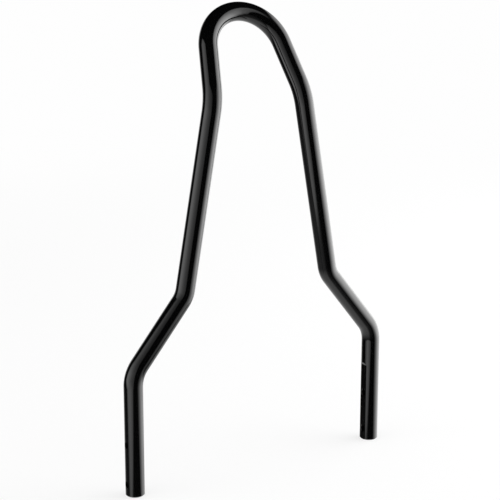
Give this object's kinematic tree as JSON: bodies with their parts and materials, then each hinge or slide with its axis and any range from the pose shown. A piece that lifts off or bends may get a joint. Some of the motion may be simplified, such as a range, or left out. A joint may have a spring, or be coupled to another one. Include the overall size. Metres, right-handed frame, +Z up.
{
  "type": "sissy bar",
  "caption": "Round steel bar bent into a tall loop for a motorcycle's tail: two bolted legs, stepped-in uprights and a crown kicked back.",
  "frame": {"origin": "on the axis of the two lower bolts, midway between the legs", "axes": "+X along the bolt axes, towards the right leg; +Y to the rear, the way the crown leans; +Z up along the legs"},
  "size_m": [0.309, 0.0595, 0.4749],
  "materials": {
    "gloss_black": "deep gloss black enamel"
  },
  "bodies": {
    "root": {"bar": "gloss_black"}
  },
  "joints": []
}
